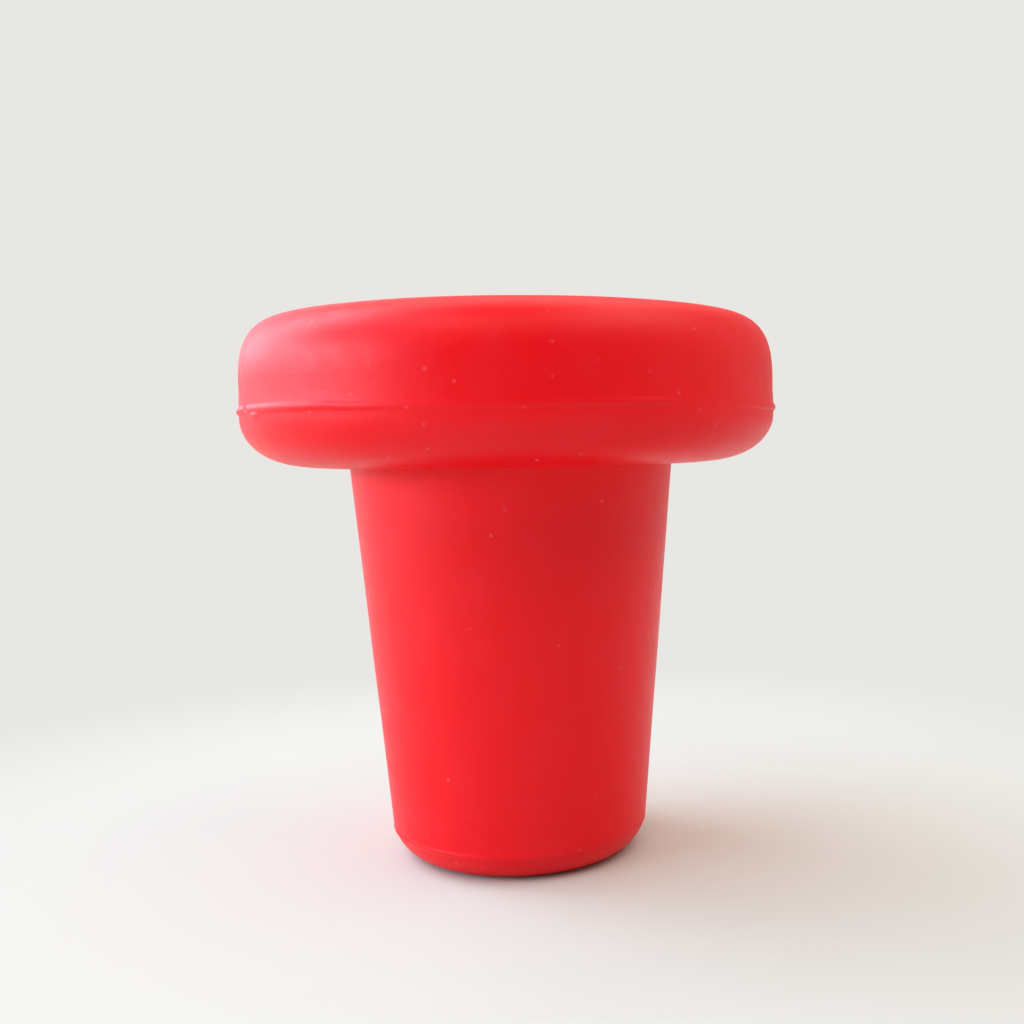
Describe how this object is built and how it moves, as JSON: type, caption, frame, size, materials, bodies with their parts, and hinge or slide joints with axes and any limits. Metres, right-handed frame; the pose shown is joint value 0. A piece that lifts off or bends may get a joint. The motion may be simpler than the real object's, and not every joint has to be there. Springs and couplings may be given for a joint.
{
  "type": "silicone bottle stopper",
  "caption": "One-piece soft silicone stopper with a tapered plug for a bottle's neck and a wide round cap to rest on its lip and pull by.",
  "frame": {"origin": "centre of the foot, the flat end of the plug that the stopper stands on", "axes": "+Z along the turned axis, from the foot up through the cap; X and Y are any two directions across it"},
  "size_m": [0.0364, 0.0364, 0.0373],
  "materials": {
    "silicone": "satin red moulded silicone"
  },
  "bodies": {
    "root": {"stopper": "silicone"}
  },
  "joints": []
}
